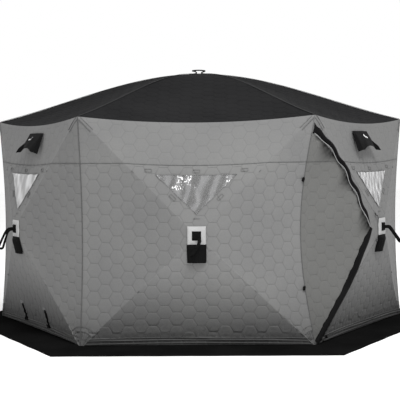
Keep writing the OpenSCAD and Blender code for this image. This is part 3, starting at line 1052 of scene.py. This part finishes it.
def pull_strap(k, m):
    """A folded webbing handle sewn to the square: it stands out from the wall and drops."""
    path = wall_frame(k, [(u, BULGE + out, HUB_Z + z) for u, out, z in STRAPS[k]])
    across, wide = (direction(k, 0.2, 0.8, 0.8), 0.8 * WEB)
    if k in SQUARE_WALLS:
        across, wide = (direction(k, 1, 0, 0.35), WEB)
    obj = ribbon(f"pull_strap_{WALLS[k]}", path, across, wide, 0.003, m["webbing"])
    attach(obj, f"{WALLS[k]}_centre")
    dress(obj, "webbing", f"hub_cover_{WALLS[k]}")


# ---- rods ----
HUB_DEPTH = 0.042
HUB_ARM = 0.045
TIP_INSET = 0.053
TIP_DEPTH = 0.016
ROD_R = 0.0055
FERRULE_R = 0.0075
END_R = 0.004
ROOF_ARM = 0.048
ROOF_TIP_R = 1.730
ROOF_DROP = 0.028
ROD_BOW = 0.045


def rod_run(length):
    """Stations along a rod and its radius at each: ferrule, bare rod and end cap."""
    s = np.concatenate([[-0.008, -0.0079, 0.0595, 0.06], np.linspace(0.061, length - 0.031, 24),
                        [length - 0.03, length - 0.0295, length - 0.002, length]])
    r = np.full(len(s), ROD_R)
    r[:3] = FERRULE_R
    r[-3:-1] = ROD_R + 0.001
    r[[0, -1]] = END_R
    return s, r


def wall_rod(k, region, high, side, hand, m):
    tip_z = EAVE - TIP_INSET if high == "upper" else HEM + TIP_INSET
    tip = np.array([side * (HALF - TIP_INSET), -TIP_DEPTH, tip_z])
    aim = np.array([tip[0], 0, tip[2] - HUB_Z])
    aim /= np.linalg.norm(aim)
    pivot = np.array([0, BULGE - HUB_DEPTH, HUB_Z]) + HUB_ARM * aim
    length = np.linalg.norm(tip - pivot)
    s, r = rod_run(length)
    path = wall_frame(k, pivot + (tip - pivot) * (s / length)[:, None])
    name = f"{WALLS[k]}_{high}_{hand}"
    obj = tube(f"pole_{name}", path, r, m["rod"])
    follow_hub(obj, k, region)
    dress(obj, "wall_rod", f"rod_{name}")


def roof_rod(k, m):
    start, end = (np.array([x, roof_z(1 - x / SIDE) - ROOF_DROP]) for x in (ROOF_ARM, ROOF_TIP_R))
    length = np.linalg.norm(end - start)
    s, r = rod_run(length)
    t = s / length
    out, z = (start + (end - start) * t[:, None]).T
    z = z + 4 * ROD_BOW * t * (1 - t)
    degrees = 60 * k + 30
    path = turn_z(np.stack([0 * t, -out, z], axis=1), degrees)
    obj = tube(f"roof_pole_{k + 1}", path, r, m["rod"])
    follow_roof(obj, SIDE, degrees)
    dress(obj, "roof_rod", f"roof_rod_{k + 1}")


def make_rods(m):
    for k in range(6):
        for region, high in (("top", "upper"), ("bottom", "lower")):
            for side, hand in ((-1, "left"), (1, "right")):
                wall_rod(k, region, high, side, hand, m)
    for k in range(6):
        roof_rod(k, m)


# ---- vent hoods ----
HOOD_TOP = 0.120         # distance of the hinge below the eave, down the cloth
HOOD_HALF = (0.160, 0.180)
HOOD_LEN = 0.175
HOOD_PROP = 18
HOOD_ASIDE = 0.080
HOOD_ROWS, HOOD_COLS = 24, 48
WALL_LEAN = math.atan2(BULGE, EAVE - HUB_Z)
HOOD_SLOPE = math.radians(HOOD_PROP) + WALL_LEAN
HINGE_OUT = HOOD_TOP * math.sin(WALL_LEAN)
HINGE_Z = EAVE - HOOD_TOP * math.cos(WALL_LEAN)


def hood_point(a, b, far, lift=0.0):
    """A point on a hood: a runs across it from -1 to 1 and b down it from 0 to 1; far is its flared side."""
    half = HOOD_HALF[0] + (HOOD_HALF[1] - HOOD_HALF[0]) * b
    notch = 0.030 * max(0, 1 - ((a - 0.1 * far) / 0.7) ** 2) * b ** 3
    run = HOOD_LEN * b - notch
    turned = max(0, abs(a) - 0.80) / 0.20
    outer = a * far > 0
    down = 0 if outer else 0.030 * b * math.sin(turned * math.pi / 2)
    low = min(1, max(0, (b - 0.45) / 0.35))
    curl = turned * low * low * (3 - 2 * low) if outer else 0
    arch = 0.016 * max(0, 1 - (a / 0.75) ** 2) * b ** 2
    crown = 0.006 * (1 - a * a) * math.sin(math.pi * min(1, b * 0.9 + 0.1))
    rise = crown + arch + 0.0015 * math.sin(9 * a + 4 * b) * b - down + 0.042 * curl + lift
    side = math.copysign(min(abs(a), 0.80) * half + 0.008 * turned, a) if outer else a * half
    return (side - far * HOOD_ASIDE,
            HINGE_OUT - 0.002 + run * math.sin(HOOD_SLOPE) + rise * math.cos(HOOD_SLOPE),
            HINGE_Z - run * math.cos(HOOD_SLOPE) + rise * math.sin(HOOD_SLOPE) - 0.025 * curl)


def flatten_hood(piece):
    """Gives a hood piece its own copy of its mesh."""
    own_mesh(piece)


def hood(k, m):
    which = VENT_WALLS[k]
    far = 1 if which == "right" else -1
    points = [hood_point(-1 + 2 * j / HOOD_COLS, i / HOOD_ROWS, far)
              for i in range(HOOD_ROWS + 1) for j in range(HOOD_COLS + 1)]
    obj = mesh_object(f"hood_{which}", wall_frame(k, points), quads(HOOD_ROWS, HOOD_COLS), m["black"])
    solidify(obj, 0.003)
    # a pale streak on the hood: a painted highlight
    streak = [hood_point(far * (0.02 + 0.30 * t), 0.22 + 0.24 * t + 0.05 * math.sin(5 * t), far, 0.004)
              for t in np.linspace(0, 1, 7)]
    across = direction(k, 0.8, 0, 0.6)
    tab = ribbon(f"hood_highlight_streak_{which}", wall_frame(k, streak), across, 0.014, 0.0015, m["bright"])
    for piece in (obj, tab):
        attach(piece, f"vent_{which}")
        flatten_hood(piece)
        dress(piece, "hood_cloth")
    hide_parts(f"vent_hood_{which}")


# ---- door ----
ZIP_TOP = 1.640
ZIP_LOW = 0.035
ZIP_END = (-0.165, 0.876)
ZIP_BOW = 0.070
LOW_BOW = 0.042
HINGE_U = -HALF + 0.18
PUCKER_SHADES = ((0.22, 0.09, 0.075), (0.52, 0.08, 0.065), (0.93, 0.10, 0.085))   # place, spread and depth of the painted shade beside the upper zip


def zip_bow(top, t):
    """How far a zip bows towards its pole."""
    t = np.clip(t, 0, 1)
    if top == ZIP_LOW:
        return LOW_BOW * np.sin(math.pi * t)
    return ZIP_BOW * np.sin(math.pi * t ** 0.7)


def zip_point(top, t, aside=0.0):
    """A point t of the way down a zip from its corner, set aside towards the pole."""
    start = np.array([-HALF, top])
    run = np.array(ZIP_END) - start
    normal = np.array([-run[1], run[0]]) / np.linalg.norm(run)
    if top == ZIP_LOW:
        normal = -normal
    return tuple(start + run * t + normal * (aside + float(zip_bow(top, t))))


def zip_edge(top, parts=7):
    return [zip_point(top, i / parts) for i in range(parts + 1)]


def from_zip(u, z, top):
    """Distance of each point from a zip, its run along the zip and the zip's length."""
    du, dz = ZIP_END[0] + HALF, ZIP_END[1] - top
    size = math.hypot(du, dz)
    run = ((u + HALF) * du + (z - top) * dz) / size
    side = ((u + HALF) * dz - (z - top) * du) / size
    bow = zip_bow(top, run / size)
    return np.abs(side + bow if top == ZIP_TOP else side - bow), run, size


def door_wrinkles(u, z):
    """Puckers along the zips and by the hinge seam."""
    lift = np.zeros(len(u))
    for top, depth in ((ZIP_TOP, 0.007), (ZIP_LOW, 0.003)):
        away, run, _ = from_zip(u, z, top)
        lift += depth * np.exp(-away / 0.045) * np.sin(2 * math.pi * run / 0.115 + 1.5 * np.sin(6 * run))
    seam = u + HALF
    lift += 0.003 * np.exp(-seam / 0.09) * np.sin(2 * math.pi * seam / 0.045 + 2 * np.sin(3 * z))
    return lift * np.clip(seam / 0.02, 0, 1)


def door_shape(u, z, h):
    fade = np.clip((ZIP_END[0] - u) / 0.02, 0, 1) * np.clip((z - ZIP_LOW) / 0.05, 0, 1)
    folds = wall_wrinkles(DOOR_WALL, u, z) + door_wrinkles(u, z) * fade
    return wall_point(DOOR_WALL, u, z, quilted(u, z, h) - 0.001 + folds)


def door_painted_light(u, z):
    """Painted shade in streaks beside the upper zip, where folds gather, on the door wall's painted shade
    lightened by a tenth.
    """
    away, run, size = from_zip(u, z, ZIP_TOP)
    reach = np.full(len(u), 0.006)
    for middle, spread, depth in PUCKER_SHADES:
        reach += depth * np.exp(-((run / size - middle) / spread) ** 2)
    shade_streaks = 0.88 + 0.12 * np.sin(2 * math.pi * run / 0.041 + 9 * away)
    return 1.10 * wall_painted_light(DOOR_WALL)(u, z) * (1 - 0.96 * shade_streaks * np.exp(-(away / reach) ** 1.8))


# Painted light on the door margins: the door wall's painted shade, lightened.
def margin_painted_light(u, z):
    return 1.14 * wall_painted_light(DOOR_WALL)(u, z)


def door_cloth(name, cut, seamed, m):
    """One of the door's two cloths; the seamed one is sewn along the hinge side."""
    flat = Flat()
    cuts = outline_cuts(zip_edge(ZIP_TOP)[:-1] + zip_edge(ZIP_LOW)[::-1]) + [cut]
    box = (-HALF, 0.0, ZIP_END[0], EAVE)
    flat.add(hex_cells(box, LOW_PHASE, slant=SIDE_SLANT), CLOTH, cuts + [UNDER_BAND])
    upper_band(flat, box, cuts, 0)
    if seamed:
        edge = -HALF + 0.0015
        flat.strip([(edge, HEM), (edge, EAVE)], 0.0024, THREAD_HEIGHT, THREAD, cuts)
    flat.line_with(box, cuts)
    obj = flat.to_object(name, door_shape, [m["door"], m["lining"], m["thread"]], door_painted_light)
    dress(obj, "door_cloth", "door_panel")
    return obj


def squash_with_hub(obj):
    """Finds the hinge point and gives a door piece its own copy of its mesh."""
    hinge = surface_at(DOOR_WALL, HINGE_U, HUB_Z)
    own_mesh(obj)


def door_margin(name, top, corner, m):
    """The wall's cloth between a zip and the pole beside it."""
    edge = zip_edge(top)
    pole = [(-HALF * (1 - t), corner + (HUB_Z - corner) * t) for t in np.linspace(0, 1, len(edge))]
    flat = Flat()
    for a, b, c, d in zip(edge, pole, edge[1:], pole[1:]):
        us, zs = zip(a, b, c, d)
        box = (min(us), min(zs), max(us), max(zs))
        lines = outline_cuts([a, b, d, c])
        flat.add(hex_cells(box, LOW_PHASE, PUFF * 0.5, BAND_FAINT), CLOTH, lines)
        flat.line_with(box, lines)
    obj = flat.to_object(f"door_margin_{name}", wall_shape(DOOR_WALL), [m["wall"], m["lining"]], margin_painted_light)
    follow_hub(obj, DOOR_WALL, "left")
    dress(obj, "wall_cloth", "wall_front_right")


def make_door(m):
    hinge = door_cloth("door_hinge_cloth", ((HINGE_U, 0), (1, 0)), True, m)
    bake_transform(hinge)
    panel = door_cloth("door_cloth_panel", ((HINGE_U, 0), (-1, 0)), False, m)
    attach(panel, "door")
    squash_with_hub(panel)
    door_margin("upper", ZIP_TOP, EAVE, m)
    door_margin("lower", ZIP_LOW, HEM, m)
    zip_tapes(m)
    door_piping(m)


def zip_sway(t):
    return 0.010 * np.sin(2 * math.pi * (t - 0.15) / 0.235) * np.sin(math.pi * np.clip(t, 0, 1)) ** 0.5


def zip_tapes(m):
    """Black tapes on the wall side of each zip."""
    ts = np.linspace(-0.07, 1.0, 74)
    corner_cut = ((-HALF + 0.004, 0), (-1, 0))
    hem_cut = ((0, HEM + 0.004), (0, -1))
    wide = (0.037 + 0.022 * np.exp(-((ts + 0.02) / 0.10) ** 2)) * np.clip((1.01 - ts) / 0.14, 0.12, 1)
    path = [zip_point(ZIP_TOP, t, zip_sway(t) + w / 2) for t, w in zip(ts, wide)]
    upper = (path, wide, 0.008, [corner_cut])
    wide = 0.056 * np.clip((ts + 0.05) / 0.2, 0.5, 1) ** 0.5 * np.clip((1.01 - ts) / 0.10, 0.15, 1) ** 0.5
    path = [zip_point(ZIP_LOW, t, 0.006 + 0.2 * zip_sway(t)) for t in ts]
    lower = (path, wide, 0.012, [corner_cut, hem_cut])
    reach = ZIP_END[0] + HALF
    sizes = ((0.058, math.hypot(reach, ZIP_TOP - ZIP_END[1])),
             (0.070, 1.07 * math.hypot(reach, ZIP_END[1] - ZIP_LOW)))
    names = ("zip_tape_upper", "storm_flap_lower")
    for name, (path, wide, height, cuts), size in zip(names, (upper, lower), sizes):
        flat = Flat()
        flat.strip(path, wide, height, CLOTH, cuts, 0.015)
        obj = flat.to_object(name, on_cloth(DOOR_WALL), [m["black"]])
        solidify(obj, 0.0015)
        follow_hub(obj, DOOR_WALL, "left")
        dress(obj, "cover_cloth")


def door_piping(m):
    """Light piping on the door's upper edge."""
    ts = np.linspace(0.012, 0.985, 90)
    u, z = np.array([zip_point(ZIP_TOP, t, zip_sway(t) - 0.005) for t in ts]).T
    path = on_cloth(DOOR_WALL)(u, z, 0.0125)
    obj = tube("door_piping_upper", path, np.full(len(path), 0.0031), m["piping"], 10)
    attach(obj, "door")
    squash_with_hub(obj)
    dress(obj, "door_cloth")


def slider(level, top, stand, m):
    """A zip's slider and its hanging pull, at a distance stand outside the CAD slider's middle."""
    low, high = (Vector(v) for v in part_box(f"zip_slider_{level}"))
    outward = Vector(direction(DOOR_WALL, 0, 1, 0)).normalized()
    start, end = (Vector(surface_at(DOOR_WALL, *zip_point(top, t))) for t in (0.9, 0.4))
    along = (end - start).normalized()
    across = along.cross(outward).normalized()
    place = (low + high) / 2 + outward * stand
    path = [place - along * 0.012, place, place + along * 0.012]
    body = ribbon(f"slider_{level}", path, across, 0.012, 0.008, m["plastic"])
    pull = [place - along * 0.010 + outward * 0.006, place - along * 0.022 + outward * 0.008,
            place - along * 0.050 + outward * 0.004 + Vector((0, 0, -0.004))]
    tab = ribbon(f"slider_pull_{level}", pull, across, 0.008, 0.0018, m["webbing"])
    for obj in (body, tab):
        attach(obj, f"{level}_slider")
        dress(obj, "slider", f"zip_slider_{level}")


# ---- toggles, roof top and tie straps ----
TOGGLE_LINE = [(0, 0, 0.014), (0.001, -0.001, 0.006), (0, 0, 0), (-0.002, -0.002, -0.010),
               (-0.006, -0.002, -0.020)]
TOGGLE_SHARES = (0, 0.1, 0.5, 0.9, 1)
TOGGLE_RADII = (0.004, 0.010, 0.0115, 0.009, 0.004)


def toggles(m):
    for i, z in enumerate((1.29, 0.46)):
        path = smooth_path(surface_at(0, HALF - 0.008, z, 0.014) + np.array(TOGGLE_LINE), 6)
        radii = np.interp(np.linspace(0, 1, len(path)), TOGGLE_SHARES, TOGGLE_RADII)
        obj = tube(f"toggle_{i + 1}", path, radii, m["webbing"])
        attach(obj, ROOT)
        dress(obj, "bracket_plastic")


CAP_R = 0.115
CAP_RINGS, CAP_AROUND = 10, 48
LOOP_Z = roof_z(1) + 0.006
LOOP_LINE = [(-0.085, -0.003), (-0.040, 0.001), (-0.020, 0.010), (-0.034, 0.022), (-0.058, 0.029),
             (0.0, 0.033), (0.056, 0.027), (0.036, 0.018), (0.022, 0.009), (0.040, 0.001), (0.085, -0.003)]


def cap_point(i, j):
    """A point on ring i of the hexagonal cap."""
    a = 2 * math.pi * j / CAP_AROUND
    hexed = math.cos(math.radians(30)) / math.cos(a % math.radians(60) - math.radians(30))
    r = CAP_R * i / CAP_RINGS * hexed
    t = 1 - r * math.cos(math.radians(30)) / APOTHEM
    return r * math.cos(a), r * math.sin(a), roof_z(t) + 0.006 - 0.005 * (i / CAP_RINGS) ** 6


def roof_top(m):
    points = [(0, 0, roof_z(1) + 0.004)]
    points += [cap_point(i, j) for i in range(1, CAP_RINGS + 1) for j in range(CAP_AROUND)]
    faces = [(0, 1 + j, 1 + (j + 1) % CAP_AROUND) for j in range(CAP_AROUND)]
    faces += [(1 + a, 1 + d, 1 + c, 1 + b) for a, b, c, d in quads(CAP_RINGS - 1, CAP_AROUND, ring=True)]
    cap = mesh_object("roof_cap_cloth", points, faces, m["black"])
    solidify(cap, 0.003)
    path = [(x, 0, LOOP_Z + z) for x, z in LOOP_LINE]
    loop = ribbon("roof_loop", path, (0, 1, 0.35), WEB, 0.006, m["webbing"])
    for obj, finish in ((cap, "roof_cloth"), (loop, "webbing")):
        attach(obj, "roof_centre")
        dress(obj, finish, "roof_cap")


def tie_straps(m):
    for side, hand in ((-1, "left"), (1, "right")):
        flat = Flat()
        u = side * 0.25
        strap = [(u - 0.015, 0.215), (u - 0.005, 0.17), (u + 0.004, 0.11), (u + 0.016, 0.065)]
        flat.strip(strap, 0.013, 0.013)
        flat.strip([(u - 0.055, 0.225), (u - 0.005, 0.205)], 0.036, 0.007, 1)
        flat.strip([(u - 0.028, 0.200), (u - 0.022, 0.085)], 0.020, 0.0055, 1)
        flat.strip([(u - 0.030, 0.088), (u - 0.018, 0.064)], 0.018, 0.013)
        obj = flat.to_object(f"tie_strap_{hand}", on_cloth(STRAP_WALL), [m["webbing"], m["wall"]])
        follow_hub(obj, STRAP_WALL, "bottom")
        dress(obj, "webbing", "tie_straps")


DOOR_TIES = ([(-0.748, 0.066), (-0.716, 0.050)], [(-0.736, 0.050), (-0.728, 0.070)],
             [(-0.782, 0.036), (-0.752, 0.018)])


def door_ties(m):
    flat = Flat()
    for path in DOOR_TIES:
        flat.strip(path, 0.012, 0.014)
    obj = flat.to_object("door_ties", on_cloth(DOOR_WALL), [m["webbing"]])
    follow_hub(obj, DOOR_WALL, "bottom")
    dress(obj, "webbing")


def paint_frame(m):
    """The CAD pieces that stay in view are black plastic."""
    for name in ["corner_brackets", "roof_hub"] + [f"hub_{wall}" for wall in WALLS]:
        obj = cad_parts[name]
        if not obj.material_slots:
            obj.data.materials.append(m["plastic"])
        for place in obj.material_slots:
            place.material = m["plastic"]


def main():
    make_camera()
    make_studio()
    m = materials()
    make_walls(m)
    make_door(m)
    for k in range(6):
        roof_gore(k, m)
    for k in range(6):
        ridge_tape(k, m)
    make_skirt(m)
    for k in range(6):
        window_film(k, m)
        stitching(k, m)
        hub_patch(k, m)
        hub_flap(k, m)
        pull_strap(k, m)
    for k in VENT_WALLS:
        hood(k, m)
    make_rods(m)
    slider("upper", ZIP_TOP, 0.012, m)
    slider("lower", ZIP_LOW, 0.020, m)
    toggles(m)
    roof_top(m)
    tie_straps(m)
    door_ties(m)
    paint_frame(m)


main()
